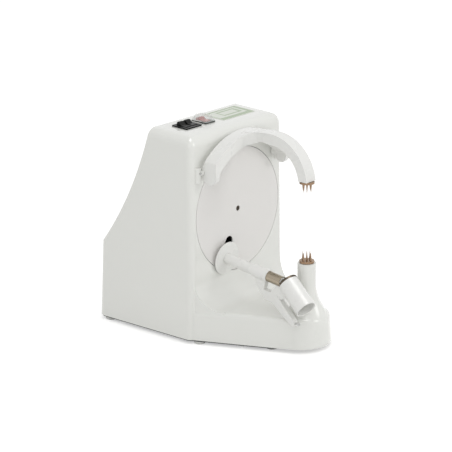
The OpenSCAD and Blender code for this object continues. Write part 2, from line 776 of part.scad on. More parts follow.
function gear_outline(teeth, turn) =
    let (pitch = gear_module * teeth / 2,
         root = pitch - 1.2 * gear_module, tip = pitch + gear_module - tooth_slack,
         w_root = 0.3 * PI * gear_module - tooth_slack / 2, w_pitch = 0.25 * PI * gear_module - tooth_slack,
         w_tip = 0.12 * PI * gear_module - tooth_slack / 2)
    [for (i = [0:teeth - 1]) let (a = i * 360 / teeth + turn)
        each [tooth(a, root, -w_root), tooth(a, pitch, -w_pitch), tooth(a, tip, -w_tip),
              tooth(a, tip, w_tip), tooth(a, pitch, w_pitch), tooth(a, root, w_root)]];

module gear(teeth, width, turn, bore) rotate([90, 0, 0]) linear_extrude(width) difference() {
    polygon(gear_outline(teeth, turn));
    circle(r = bore);
}

module turntable_gear() color("#e9e3cf") from_axis() translate([0, gear_front + gear_width, 0])
    gear(gear_teeth, gear_width, 0, turntable_shaft_diameter / 2 + seat);

module gear_screw() color("#9a9a98") from_axis() {
    rod_y(1.5 - seat, gear_front + gear_width - 9, gear_front + gear_width);
    rod_y(turntable_shaft_diameter / 2 + 3, gear_front + gear_width, gear_front + gear_width + 1.2);
    rod_y(2.8, gear_front + gear_width + 1.2, gear_front + gear_width + 3.4);
}

module drive_pinion() color("#b9a46a") from_axis() translate([mesh_distance, 0, 0]) {
    translate([0, gear_front + gear_width - 0.5, 0])
        gear(pinion_teeth, gear_width - 1, 180 + 180 / pinion_teeth, pinion_shaft_diameter / 2 - 1);
    rod_y(pinion_shaft_diameter / 2, gear_front + 0.5, gearbox_front + 10);
}

module gearbox_corner(x, z)
    translate([x + (x < mesh_distance ? gearbox_foot_inset : -gearbox_foot_inset), 0,
               z * (gearbox_height / 2 - gearbox_foot_inset)]) children();

module gearbox() color("#7f8487") from_axis() difference() {
    union() {
        block([gearbox_left, gearbox_front, -gearbox_height / 2],
              [gearbox_right, gearbox_front + gearbox_depth, gearbox_height / 2]);
        for (x = [gearbox_left, gearbox_right], z = [-1, 1])
            gearbox_corner(x, z) rod_y(4, chassis_setback + chassis_thickness, gearbox_front);
    }
    translate([mesh_distance, 0, 0])
        rod_y(pinion_shaft_diameter / 2 + run, gearbox_front - 1, gearbox_front + 12);
}

module turntable_motor() color("#5c6063") from_axis()
    translate([(gearbox_left + gearbox_right) / 2, 0, -turntable_motor_drop])
    rod_y(turntable_motor_diameter / 2, gearbox_front + gearbox_depth,
          gearbox_front + gearbox_depth + turntable_motor_length);

// Bracket on the back of the turntable: a foot plate and two ears that hold the pin
module arm_bracket() color("#9fa3a4") difference() {
    inner = block_size / 2 + ear_gap;
    pivot_rise = arm_pivot_z - axis_z;
    from_axis() union() {
        for (side = [-1, 1]) {
            x0 = side > 0 ? -arm_offset + inner : -arm_offset - inner - ear_thickness;
            block([x0, turntable_thickness, pivot_rise - ear_height / 2],
                  [x0 + ear_thickness, arm_pivot_setback, pivot_rise + ear_height / 2]);
            translate([0, arm_pivot_setback, pivot_rise]) rod_x(ear_height / 2, x0, x0 + ear_thickness);
            f0 = side > 0 ? x0 : x0 - 8;
            block([f0, turntable_thickness, pivot_rise - ear_height / 2],
                  [f0 + ear_thickness + 8, turntable_thickness + 2, pivot_rise + ear_height / 2]);
        }
        for (x = [-arm_offset - inner - ear_thickness, -arm_offset + inner])
            block([x, turntable_thickness, pivot_rise - ear_height / 2 - 3.5],
                  [x + ear_thickness, 17, pivot_rise]);
        block([-arm_offset - inner - ear_thickness, 14, pivot_rise - ear_height / 2 - 3.5],
              [-arm_offset + inner + ear_thickness, 17, pivot_rise - ear_height / 2 - 1.5]);
    }
    from_axis() translate([0, arm_pivot_setback, pivot_rise])
        rod_x(arm_pin_diameter / 2 + seat, -arm_offset - 20, -arm_offset + 20);
}

module arm_pivot_pin() color("#c9cbcb") arm_frame() {
    half = block_size / 2 + ear_gap + ear_thickness + 1.5;
    rod_x(arm_pin_diameter / 2, -half, half);
}

// Torsion spring round the end of the pin, its turns wound close, with a straight leg
module arm_spring() color("#8d9090") arm_frame() {
    wire = 1.1;
    inner = arm_pin_diameter / 2 + seat;
    start = block_size / 2 + ear_gap + ear_thickness + 0.3;
    difference() {
        union() {
            for (i = [0:3]) translate([start + i * wire, 0, 0]) rod_x(inner + wire, 0, wire - 0.2);
            translate([start, 0, 0]) rod_x(inner + 0.6 * wire, 0, 3.5 * wire);
        }
        translate([start, 0, 0]) rod_x(inner, -1, 6 * wire);
    }
    translate([start + wire / 2, 0, inner + wire / 2]) rod_y(wire / 2, -13, 0);
}

module arm_pivot_block() color("#d8d8d4") arm_frame() difference() {
    union() {
        block([-block_size / 2, -block_front, -block_size / 2], [block_size / 2, 0, block_size / 2]);
        rod_x(block_size / 2, -block_size / 2, block_size / 2);
    }
    rod_y(rear_spigot / 2 + seat, -block_front - 1, -6);
    rod_x(arm_pin_diameter / 2 + run, -block_size, block_size);
}

// Arm tube, turned down at its rear for the block and at its front for the sleeve
module arm_tube() color("#e8e8e5") arm_frame() difference() {
    shoulder = sleeve_end - sleeve_length;
    union() {
        rod_y(rear_spigot / 2, -block_front - 1, -6.2);
        rod_y(arm_tube_diameter / 2, -shoulder, -block_front);
        rod_y(front_spigot / 2, -sleeve_end, -shoulder + 1);
    }
    rod_y(rear_spigot / 2 - arm_tube_wall, -sleeve_end - 1, -5);
}

module arm_flange() color("#e4e4e0") arm_frame() difference() {
    rod_y(flange_diameter / 2, -flange_front, -flange_front + flange_thickness);
    rod_y(arm_tube_diameter / 2 + seat, -flange_front - 1, 0);
}

module pivot_sleeve() color("#b3aa9a") arm_frame() difference() {
    rod_y(sleeve_diameter / 2, -sleeve_end, -sleeve_end + sleeve_length);
    rod_y(front_spigot / 2 + seat, -sleeve_end - 1, 0);
}

// Blade head: a collar on the sleeve, a plate below it, a bar and the peel tube
sleeve_bare = 24;
collar_rear = sleeve_end - sleeve_bare - collar_length;
bar_thickness = 8;
blade_screw_diameter = 3;
bar_left = -35.5;
bar_tip = [-45, -137.5, -128.5];

// Draws a plate between two x places from its outline, y and z measured as in from_axis
module plate_x(x0, x1, outline) from_axis() translate([x0, 0, 0]) rotate([90, 0, 90])
    linear_extrude(x1 - x0) polygon(outline);

module blade_head() color("#ececea") difference() {
    union() {
        arm_frame() rod_y(collar_diameter / 2, -collar_rear - collar_length, -collar_rear);
        plate_x(bar_left, bar_left + bar_thickness,
                [[-58, -73], [-61, -88.8], [-77.4, -109.4], [-93.8, -111.2], [-99, -112.6], [-104, -103],
                 [-87.3, -97.2], [-75.8, -95.7], [-77.5, -89.3], [-78, -76]]);
        plate_x(bar_left, bar_left + 6,
                [[-87.3, -97.2], [-90, -104], [-99, -108], [-122, -97], [-114, -82], [-100.3, -83]]);
        hull() {
            from_axis() translate([bar_left + bar_thickness / 2, -95, -105.5])
                cube([bar_thickness, 8, 12.4], center = true);
            from_axis() translate(bar_tip) cube([bar_thickness, 5, 8], center = true);
        }
        peel_frame() cylinder(d1 = peel_top_diameter, d2 = peel_end_diameter, h = peel_length);
    }
    peel_frame() translate([0, 0, -1])
        cylinder(d1 = peel_top_diameter - 2 * peel_wall, d2 = peel_end_diameter - 2 * peel_wall,
                 h = peel_length + 2);
    arm_frame() rod_y(sleeve_diameter / 2 + run, -sleeve_end - 20, -collar_rear + 1);
    from_axis() translate(bar_tip) rod_y(blade_screw_diameter / 2 + seat, -5, 1);
}

// Half ring of steel that arches over the blade end of the peel tube
module ring_blade() color("#4b4034") peel_frame() translate([0, 0, -blade_width])
    rotate_extrude(angle = 180)
        translate([peel_top_diameter / 2 - blade_thickness, 0]) square([blade_thickness, blade_width]);

module blade_screw() color("#8c8880") from_axis() translate(bar_tip) {
    rod_y(blade_screw_diameter / 2, -7, 0.7);
    rod_y(2.6, -9, -7);
}

// Outline of one leg from the side, y in front of the turntable face is negative
relief_radius = flange_sweep + 0.6;
relief_depth = 12;
leg_top = sqrt(pow(yoke_outer_radius, 2) - pow(leg_outer, 2));
leg_middle = hinge_rise - 2.6;
leg_thickness = 7.5;

module leg_profile() polygon(concat(
    [[-yoke_setback, leg_top - 1], [leg_round - leg_forward, hinge_rise + 2]],
    arc(-leg_forward, leg_middle, leg_round, 0, -180, 16),
    [[-yoke_setback - yoke_depth, leg_top - 1]]));

// Side view of the curved arm, which holds its width all the way round
curve_outer = [-(spindle_reach - curve_setback - 1.5), curve_rise];
curve_inner = [-(spindle_reach - curve_setback), curve_rise];
arm_root = yoke_setback + 12;

module curved_arm() {
    end_angle = asin((arm_end_rise - curve_rise) / curve_outer_radius);
    end_inner = asin((arm_end_rise - curve_rise) / curve_inner_radius);
    crown = curve_rise + curve_outer_radius;
    throat = curve_rise + curve_inner_radius;
    rotate([90, 0, 90]) linear_extrude(arm_width, center = true)
        polygon(concat([[-arm_root, crown - 4], [-28, crown - 3.8], [-45, crown - 1.2], [-55, crown - 0.2]],
                       arc(curve_outer[0], curve_outer[1], curve_outer_radius, 90, 180 - end_angle, 24),
                       arc(curve_inner[0], curve_inner[1], curve_inner_radius, 180 - end_inner, 90, 24),
                       [[-53, throat + 1.7], [-37.5, throat + 0.3], [-28, throat - 2.3],
                        [-arm_root, yoke_inner_radius + 1.3]]));
}

// A ring round the turntable axis from its section, [radius, distance in front of the face]
module yoke_ring(sweep, section) rotate([0, -90, 0]) rotate([90, 0, 0]) rotate([0, 0, -sweep])
    rotate_extrude(angle = 2 * sweep, $fn = 128) polygon(section);

// Rounded corners between the yoke's front and the sides of the curved arm
module arm_gusset() {
    r = 17;
    x = arm_width / 2;
    front = yoke_setback + yoke_depth;
    intersection() {
        translate([0, 0, 50]) linear_extrude(100)
            polygon(concat([[-x - r, 2 - front], [x + r, 2 - front]],
                           arc(x + r, -front - r, r, 90, 180, 8), arc(-x - r, -front - r, r, 0, 90, 8)));
        yoke_ring(30, [[yoke_inner_radius, front - 1.5], [yoke_outer_radius, front - 1.5],
                       [yoke_outer_radius + 3.3, front + r], [yoke_inner_radius + 5.3, front + r]]);
    }
}

module upper_arm() color("#e9e9e6") from_axis() difference() {
    front = yoke_setback + yoke_depth;
    union() {
        intersection() {
            yoke_ring(58, [[yoke_inner_radius, yoke_setback], [yoke_outer_radius, yoke_setback],
                           [yoke_outer_radius, front], [yoke_inner_radius, front]]);
            block([-leg_outer, -60, 40], [leg_outer, 0, 200]);
        }
        for (side = [-1, 1]) translate([side * (leg_outer - leg_thickness / 2), 0, 0])
            rotate([90, 0, 90]) linear_extrude(leg_thickness, center = true) leg_profile();
        curved_arm();
        arm_gusset();
    }
    rod_y(relief_radius, -relief_depth, 1);
    rod_y(relief_radius - 4, -60, 1);
    for (side = [-1, 1]) translate([0, -hinge_forward, hinge_rise])
        rod_x(hinge_pin_diameter / 2 + run, side > 0 ? leg_outer - pin_grip : -leg_outer - 1,
              side > 0 ? leg_outer + 1 : -leg_outer + pin_grip);
    translate([0, -spindle_reach, arm_end_rise - 1])
        cylinder(d = upper_bush_diameter, h = upper_bush_length + 5.5);
}

module hinge_pins() color("#c9cbcb") from_axis() for (side = [-1, 1])
    translate([0, -hinge_forward, hinge_rise])
        rod_x(hinge_pin_diameter / 2, side > 0 ? leg_outer - pin_grip + gap : -leg_outer - pin_tail - 1.5,
              side > 0 ? leg_outer + pin_tail + 1.5 : -leg_outer + pin_grip - gap);

module upper_bush() color("#c7b98d") from_axis() translate([0, -spindle_reach, arm_end_rise]) difference() {
    cylinder(d = upper_bush_diameter - 2 * seat, h = upper_bush_length);
    translate([0, 0, -1]) cylinder(d = upper_shaft_diameter + 2 * run, h = upper_bush_length + 2);
}

// A holder disc with a ring of spikes and one in the middle
module holder(points) {
    cylinder(d = holder_diameter, h = holder_thickness);
    for (i = [0:points - 1]) rotate(i * 360 / points)
        translate([holder_diameter / 2 - 3.5, 0, holder_thickness])
            cylinder(r1 = 1.4, r2 = 0.2, h = spike_length);
    translate([0, 0, holder_thickness]) cylinder(r1 = 1.6, r2 = 0.2, h = spike_length + 2);
}

module upper_holder() color("#8d7a63") from_axis() translate([0, -spindle_reach, arm_end_rise - gap])
    mirror([0, 0, 1]) holder(spike_count);

module upper_shaft() color("#b7babb") from_axis() translate([0, -spindle_reach, arm_end_rise - gap]) {
    difference() {
        cylinder(d = upper_shaft_diameter, h = upper_bush_length + 4);
        translate([0, 0, upper_bush_length + 1]) difference() {
            cylinder(d = upper_shaft_diameter + 2, h = 1.2);
            translate([0, 0, -1]) cylinder(d = upper_shaft_diameter - 1.4, h = 4);
        }
    }
}

module retaining_ring() color("#8d9090") from_axis()
    translate([0, -spindle_reach, arm_end_rise - gap + upper_bush_length + 1]) difference() {
        cylinder(d = upper_shaft_diameter + 2.2, h = 1.1);
        translate([0, 0, -1]) cylinder(d = upper_shaft_diameter - 1.4 + 2 * seat, h = 4);
    }

module lower_holder() color("#8d7a63") translate([0, spindle_y, post_top_z + gap]) holder(spike_count);

module spindle_shaft() color("#b7babb") translate([0, spindle_y, pulley_z - 2])
    cylinder(d = spindle_diameter, h = post_top_z + gap - pulley_z + 2);

module spindle_bush(z) translate([0, spindle_y, z]) difference() {
    cylinder(d = bush_diameter - 2 * seat, h = bush_length);
    translate([0, 0, -1]) cylinder(d = spindle_diameter + 2 * run, h = bush_length + 2);
}

module spindle_top_bush() color("#c7b98d") spindle_bush(post_top_z - bush_length);

module spindle_lower_bush() color("#c7b98d") spindle_bush(base_z + toe_height - wall);

// A flat pulley with a rim above and below the belt
module pulley(diameter, bore, z) translate([0, 0, z]) difference() {
    union() {
        cylinder(d = diameter, h = belt_width + 1 + 2 * pulley_rim);
        for (h = [0, belt_width + 1 + pulley_rim]) translate([0, 0, h])
            cylinder(d = diameter + 2 * belt_thickness + 3, h = pulley_rim);
    }
    translate([0, 0, -1]) cylinder(d = bore, h = belt_width + 10);
}

module spindle_pulley() color("#3b3d3f") translate([0, spindle_y, 0])
    pulley(spindle_pulley_diameter, spindle_diameter + 2 * seat, pulley_z);

module motor_pulley() color("#3b3d3f") translate([0, motor_y, 0]) {
    pulley(motor_pulley_diameter, motor_shaft_diameter - 0.4, pulley_z);
    translate([0, 0, pulley_z]) cylinder(d = motor_shaft_diameter, h = motor_z - pulley_z + 8);
}

// Outline of the belt: two arcs joined by their outer tangents
function belt_outline(grow) =
    let (r1 = spindle_pulley_diameter / 2 + gap + grow,
         r2 = motor_pulley_diameter / 2 + gap + grow,
         lean = asin((r1 - r2) / (motor_y - spindle_y)))
    concat(arc(0, spindle_y, r1, 180 - lean, 360 + lean, 28), arc(0, motor_y, r2, lean, 180 - lean, 20));

module drive_belt() color("#26282a") translate([0, 0, pulley_z + pulley_rim + 0.5])
    linear_extrude(belt_width) difference() {
        polygon(belt_outline(belt_thickness));
        polygon(belt_outline(0));
    }

module spindle_motor() color("#5c6063") translate([0, motor_y, motor_z]) difference() {
    cylinder(d = motor_diameter, h = motor_length);
    translate([0, 0, -1]) cylinder(d = motor_shaft_diameter + 2 * run, h = 12);
}

// Steel bridge over the motor pulley that carries the motor
module motor_bracket() color("#b4b7b8") translate([0, motor_y, 0]) difference() {
    half = bracket_width / 2;
    union() {
        block([-half, -24, motor_z - bracket_thickness], [half, 24, motor_z]);
        for (x = [-1, 1]) {
            block([x > 0 ? half - bracket_thickness : -half, -24, base_z],
                  [x > 0 ? half : -half + bracket_thickness, 24, motor_z]);
            block([x > 0 ? half : -half - 10, -24, base_z],
                  [x > 0 ? half + 10 : -half, 24, base_z + bracket_thickness]);
        }
    }
    translate([0, 0, motor_z - bracket_thickness - 1]) cylinder(d = 12, h = bracket_thickness + 2);
}

main_housing();
base_plate();
rubber_feet();
base_screws();
power_inlet();
control_label();
power_switch_frame();
power_rocker();
splash_cover();
double_switch_frame();
left_rocker();
right_rocker();
circuit_board();
chassis_plate();
chassis_screws();
turntable_bearing();
limit_switch();
turntable_disc();
centre_screw();
turntable_shaft();
turntable_gear();
gear_screw();
drive_pinion();
gearbox();
turntable_motor();
arm_bracket();
arm_pivot_pin();
arm_spring();
arm_pivot_block();
arm_tube();
arm_flange();
pivot_sleeve();
blade_head();
ring_blade();
blade_screw();
upper_arm();
hinge_pins();
upper_bush();
upper_holder();
upper_shaft();
retaining_ring();
lower_holder();
spindle_shaft();
spindle_top_bush();
spindle_lower_bush();
spindle_pulley();
drive_belt();
motor_pulley();
spindle_motor();
motor_bracket();
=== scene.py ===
"""Looks for the electric peeler: moulded housing, turntable, peeling arm, switches and steel fittings.

Everything is in metres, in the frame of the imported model, which is loaded first and never changed.
"""
import json
import math

import bmesh
import bpy
from bpy.props import FloatProperty, FloatVectorProperty, IntProperty, PointerProperty
from mathutils import Matrix, Vector


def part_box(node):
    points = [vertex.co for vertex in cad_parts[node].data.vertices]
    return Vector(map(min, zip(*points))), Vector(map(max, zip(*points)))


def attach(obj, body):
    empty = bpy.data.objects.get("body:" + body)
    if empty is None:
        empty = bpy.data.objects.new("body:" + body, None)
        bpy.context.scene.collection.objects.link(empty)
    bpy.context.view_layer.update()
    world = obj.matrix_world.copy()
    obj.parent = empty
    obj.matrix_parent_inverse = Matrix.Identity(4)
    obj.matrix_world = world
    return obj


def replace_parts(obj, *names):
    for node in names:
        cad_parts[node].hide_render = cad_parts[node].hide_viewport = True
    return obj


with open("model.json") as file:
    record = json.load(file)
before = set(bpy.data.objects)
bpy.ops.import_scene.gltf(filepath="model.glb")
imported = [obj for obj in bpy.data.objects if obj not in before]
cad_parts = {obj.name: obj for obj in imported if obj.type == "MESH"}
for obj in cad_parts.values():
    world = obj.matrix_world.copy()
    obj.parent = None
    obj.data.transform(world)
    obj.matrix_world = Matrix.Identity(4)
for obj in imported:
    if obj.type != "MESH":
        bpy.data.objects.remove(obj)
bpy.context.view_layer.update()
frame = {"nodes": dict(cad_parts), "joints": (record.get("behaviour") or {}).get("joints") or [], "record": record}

bl_info = {
    "name": "Electric peeler",
    "version": (1, 0, 0),
    "blender": (4, 5, 0),
    "location": "View3D > Sidebar > Peeler",
    "description": "Dresses an electric fruit and potato peeler",
    "category": "Object",
}

MM = 0.001
TURNTABLE = Vector(next(joint["pos_m"] for joint in frame["joints"] if joint["name"] == "turntable_spin"))

WELD = 0.003 * MM    # corners of a CAD mesh closer than this are one corner
CREASE = 32.0        # edges sharper than this many degrees stay edges
EDGE_SEGMENTS = 3    # faces across a rounded edge

# Shapes of the small pieces, each as a share of another size of the same piece
FOOT_RIM = 0.35                                # height of the rounded rim, of the foot's height
RIM_STEPS = ((0.55, 0.96), (0.45, 0.86))       # height of each step, of the rim, and how it narrows
CROWN = 0.3                                    # height of the crown, of the screw head's straight side
CROWN_NARROWS = 0.82
RECESS_SINKS = 0.8                             # middle of the recess, of the head's straight side
RECESS_REACH = 1.2                             # length of the recess, of the head's radius
RIB_REACH = 0.8                                # length of a grip rib, of the rocker's width


# ---------------------------------------------------------------- node trees

def set_inputs(tree, node, values):
    """Sets a node's inputs by name or number, from a value or from another node's output."""
    for socket, source in values.items():
        if isinstance(source, bpy.types.NodeSocket):
            tree.links.new(source, node.inputs[socket])
        else:
            node.inputs[socket].default_value = source


def add_node(tree, kind, values=None, **settings):
    """Adds a node, sets its properties and then its inputs."""
    node = tree.nodes.new(kind)
    for key, value in settings.items():
        setattr(node, key, value)
    set_inputs(tree, node, values or {})
    return node


def calculate(tree, operation, *values):
    """The output of a maths node on numbers or other outputs."""
    return add_node(tree, "ShaderNodeMath", dict(enumerate(values)), operation=operation).outputs[0]


def lay_over(tree, mask, under, over):
    """One colour laid over another where the mask is 1; the sockets are those of a colour mix."""
    mix = add_node(tree, "ShaderNodeMix", {0: mask, 6: under, 7: over}, data_type="RGBA")
    return mix.outputs[2]


def object_place(tree):
    """The place of a shading point on its piece, as X, Y and Z."""
    place = add_node(tree, "ShaderNodeTexCoord")
    return add_node(tree, "ShaderNodeSeparateXYZ", {"Vector": place.outputs["Object"]}).outputs


# ---------------------------------------------------------------- materials

def new_material(name):
    """A material with its shader, and the tree to add to."""
    material = bpy.data.materials.new(name)
    material.use_nodes = True
    tree = material.node_tree
    return material, tree, tree.nodes["Principled BSDF"]


NOISE_LOW, NOISE_HIGH = 0.3, 0.7    # most of a noise pattern lies between these


def object_noise(tree, scale, detail=3.0, stretch=(1, 1, 1)):
    """A noise pattern that stays on the piece."""
    place = add_node(tree, "ShaderNodeTexCoord")
    mapping = add_node(tree, "ShaderNodeMapping", {"Vector": place.outputs["Object"], "Scale": stretch})
    noise = add_node(tree, "ShaderNodeTexNoise", {
        "Vector": mapping.outputs["Vector"], "Scale": scale, "Detail": detail})
    return noise.outputs["Fac"]


def uneven(tree, source, low, high):
    """Spreads a noise pattern over a range."""
    spread = add_node(tree, "ShaderNodeMapRange", {
        "Value": source, "From Min": NOISE_LOW, "From Max": NOISE_HIGH, "To Min": low, "To Max": high})
    return spread.outputs["Result"]


def moulded_plastic(name, colour, roughness, coat=0.0, grain=0.0, sheen=0.5):
    """Injection-moulded plastic with a slightly uneven gloss."""
    material, tree, shader = new_material(name)
    set_inputs(tree, shader, {
        "Base Color": (*colour, 1), "IOR": 1.49, "Specular IOR Level": sheen,
        "Coat Weight": coat, "Coat Roughness": 0.06,
        "Roughness": uneven(tree, object_noise(tree, 14.0), roughness * 0.88, roughness * 1.12)})
    if grain:
        bump = add_node(tree, "ShaderNodeBump", {
            "Strength": grain, "Distance": 0.05 * MM, "Height": object_noise(tree, 1400.0, 2.0)})
        set_inputs(tree, shader, {"Normal": bump.outputs["Normal"]})
    return material


def painted_shade_plastic(name, colour, top):
    """Pale plastic flange over a painted shade: a dark band below the flange's top edge stands in for the shade
    under the flange; the flange's top is at a height.
    """
    flange_depth = 0.8 * MM
    painted_shade_colour = (0.05, 0.055, 0.05, 1)
    material = moulded_plastic(name, colour, 0.3)
    tree = material.node_tree
    # Painted shade: below the flange's top edge the colour turns dark, where shade falls under the flange.
    below = calculate(tree, "LESS_THAN", object_place(tree)["Z"], top - flange_depth)
    set_inputs(tree, tree.nodes["Principled BSDF"], {
        "Base Color": lay_over(tree, below, (*colour, 1), painted_shade_colour)})
    return material


def metal(name, colour, roughness, stretch=(1, 1, 1), scale=300.0):
    """Bare metal with fine tool marks along one direction."""
    material, tree, shader = new_material(name)
    set_inputs(tree, shader, {
        "Base Color": (*colour, 1), "Metallic": 1.0,
        "Roughness": uneven(tree, object_noise(tree, scale, 4.0, stretch),
                            roughness * 0.8, roughness * 1.25)})
    return material


def rubber(name, colour):
    """Dull rubber."""
    material, tree, shader = new_material(name)
    set_inputs(tree, shader, {
        "Base Color": (*colour, 1), "Specular IOR Level": 0.3,
        "Roughness": uneven(tree, object_noise(tree, 200.0), 0.6, 0.8)})
    return material


def clear_plastic(name):
    """Clear moulded cover."""
    material, tree, shader = new_material(name)
    set_inputs(tree, shader, {
        "Base Color": (0.84, 0.87, 0.85, 1), "Alpha": 0.2, "Roughness": 0.15, "Specular IOR Level": 0.35})
    return material


def printed_label(name, colours, centre, half_size):
    """A bare printed film: nested bands round one empty window."""
    material, tree, shader = new_material(name)
    across = object_place(tree)
    wide, deep = half_size

    def inside(right, back, half_x, half_y):
        """1 inside a rectangle on the film, 0 outside it; sizes are shares of the film's half size."""
        in_x = calculate(tree, "COMPARE", across["X"], centre[0] + right * wide, half_x * wide)
        in_y = calculate(tree, "COMPARE", across["Y"], centre[1] + back * deep, half_y * deep)
        return calculate(tree, "MULTIPLY", in_x, in_y)

    tint = (*colours.label_edge, 1)
    for rectangle, colour in (
            ((0, 0, 0.97, 0.95), colours.label_band),
            ((-0.06, 0.12, 0.84, 0.66), colours.label_field),
            ((0.10, 0.16, 0.56, 0.46), colours.label_band),
            ((0.06, 0.16, 0.44, 0.30), colours.label_field)):
        tint = lay_over(tree, inside(*rectangle), tint, (*colour, 1))
    set_inputs(tree, shader, {"Base Color": tint, "Roughness": 0.38})
    return material


def circuit_coating(name):
    """Green solder coat with paler tracks under it."""
    material, tree, shader = new_material(name)
    place = add_node(tree, "ShaderNodeTexCoord")
    tracks = add_node(tree, "ShaderNodeTexBrick", {
        "Vector": place.outputs["Object"], "Scale": 160.0, "Mortar Size": 0.03,
        "Color1": (0.02, 0.12, 0.05, 1), "Color2": (0.025, 0.14, 0.06, 1), "Mortar": (0.08, 0.26, 0.12, 1)})
    set_inputs(tree, shader, {"Base Color": tracks.outputs["Color"], "Roughness": 0.35})
    return material


FINISHES = {}


def make_finishes(colours):
    """Every finish by the record's slot name."""
    FINISHES.update({
        "shell_white": moulded_plastic("Housing white", colours.shell, 0.2, coat=0.5),
        "disc_white": moulded_plastic("Turntable white", colours.disc, 0.3, coat=0.15, grain=0.05),
        "arm_white": moulded_plastic("Arm white", colours.arm, 0.28, coat=0.25),
        "inner_white": moulded_plastic("Inner white", colours.shell, 0.42),
        # The power switch's frame gets a painted shade below its flange.
        "frame_white": painted_shade_plastic("Frame white", colours.frame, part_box("power_switch_frame")[1].z),
        "plate_dark": moulded_plastic("Base plate", (0.045, 0.052, 0.05), 0.5, grain=0.2),
        "foot_rubber": rubber("Foot rubber", (0.62, 0.62, 0.6)),
        "belt_rubber": rubber("Belt rubber", (0.02, 0.02, 0.021)),
        "switch_black": moulded_plastic("Switch black", colours.switch, 0.3, grain=0.1, sheen=0.2),
        "sensor_black": moulded_plastic("Sensor black", (0.02, 0.02, 0.022), 0.45),
        "rocker_red": moulded_plastic("Rocker red", colours.power_rocker, 0.25, coat=0.3),
        "cover_clear": clear_plastic("Clear cover"),
        "screw_zinc": metal("Zinc screw", (0.55, 0.55, 0.54), 0.32),
        "sheet_steel": metal("Sheet steel", (0.56, 0.58, 0.59), 0.4, scale=60.0),
        "bearing_metal": metal("Sintered bronze", (0.5, 0.38, 0.2), 0.38),
        "shaft_steel": metal("Turned steel", (0.6, 0.6, 0.6), 0.22, stretch=(1, 12, 1)),
        "pinion_brass": metal("Machined brass", (0.6, 0.43, 0.16), 0.25),
        "case_zinc": metal("Cast zinc", (0.4, 0.42, 0.43), 0.45, scale=500.0),
        "stainless": metal("Polished stainless", colours.stainless, 0.2, stretch=(1, 8, 1)),
        # The ring blade's near-black colour is a painted dark reflection on its polished steel.
        "blade_edge": metal("Hardened blade", (0.10, 0.08, 0.06), 0.3),
        "screw_dark": metal("Blackened screw", (0.09, 0.075, 0.06), 0.4),
        # The holders' brown tint is a painted reflection of the orange fruit on their polished steel.
        "holder_steel": metal("Holder steel", colours.holder, 0.26),
        "gear_nylon": moulded_plastic("Gear nylon", (0.7, 0.64, 0.48), 0.4),
        "motor_grey": moulded_plastic("Motor paint", (0.09, 0.1, 0.105), 0.38, coat=0.2),
        "board_green": circuit_coating("Circuit board"),
        "label_green": printed_label("Label film", colours, label_centre(), label_half_size()),
    })


SLOT_OF = {part["node"]: part["material_slot"] for part in frame["record"]["subparts"]}
BODY_OF = {node: body for body, nodes in frame["record"]["behaviour"]["bodies"].items() for node in nodes}


def label_centre():
    """Middle of the label's film."""
    low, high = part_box("control_label")
    return (low + high) / 2


def label_half_size():
    """Half the width and half the depth of the label's film."""
    low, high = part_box("control_label")
    return ((high.x - low.x) / 2, (high.y - low.y) / 2)


# ---------------------------------------------------------------- shaping

def link_mesh(name, data):
    """A new piece from a mesh, at the origin."""
    piece = bpy.data.objects.new(name, data)
    bpy.context.scene.collection.objects.link(piece)
    return piece


def bake_modifiers(piece):
    """Turns the piece's modifiers into plain mesh."""
    view = bpy.context.evaluated_depsgraph_get()
    view.update()
    data = bpy.data.meshes.new_from_object(piece.evaluated_get(view), preserve_all_data_layers=True,
                                           depsgraph=view)
    piece.modifiers.clear()
    piece.data = data
    return piece


def solid_copy(node, name, flatten=True):
    """A merged copy of a CAD node's mesh, with flat faces joined up."""
    mesh = bmesh.new()
    mesh.from_mesh(frame["nodes"][node].data)
    bmesh.ops.remove_doubles(mesh, verts=mesh.verts, dist=WELD)
    if flatten:
        bmesh.ops.dissolve_limit(mesh, angle_limit=math.radians(0.6), verts=mesh.verts, edges=mesh.edges)
    data = bpy.data.meshes.new(name)
    mesh.to_mesh(data)
    mesh.free()
    for layer in ("custom_normal", "sharp_edge", "sharp_face"):
        if layer in data.attributes:
            data.attributes.remove(data.attributes[layer])
    data.materials.clear()
    return link_mesh(name, data)


def soften(piece, radius=0.0, crease=CREASE):
    """Rounds the sharp edges and shades the piece smooth between the edges that stay."""
    if radius:
        bevel = piece.modifiers.new("Rounding", "BEVEL")
        bevel.width = radius
        bevel.segments = EDGE_SEGMENTS
        bevel.limit_method = "ANGLE"
        bevel.angle_limit = math.radians(crease)
        bevel.use_clamp_overlap = True
        bake_modifiers(piece)
    piece.data.shade_smooth()
    piece.data.set_sharp_from_angle(angle=math.radians(crease))
    even = piece.modifiers.new("Even shading", "WEIGHTED_NORMAL")
    even.keep_sharp = True
    return bake_modifiers(piece)


def dress(piece, nodes):
    """Gives a new piece its finish and its body, and hides the nodes that it stands for."""
    slot = SLOT_OF[nodes[0]]
    piece.data.materials.clear()
    piece.data.materials.append(FINISHES[slot])
    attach(piece, BODY_OF[nodes[0]])
    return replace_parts(piece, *nodes)


def paint_node(node):
    """Gives a CAD node that keeps its shape its finish."""
    for place in frame["nodes"][node].material_slots:
        place.material = FINISHES[SLOT_OF[node]]


def round_nodes(rounding):
    """Copies each named node with its own edge radius."""
    for node, radius in rounding.items():
        dress(soften(solid_copy(node, node + "_look"), radius), [node])


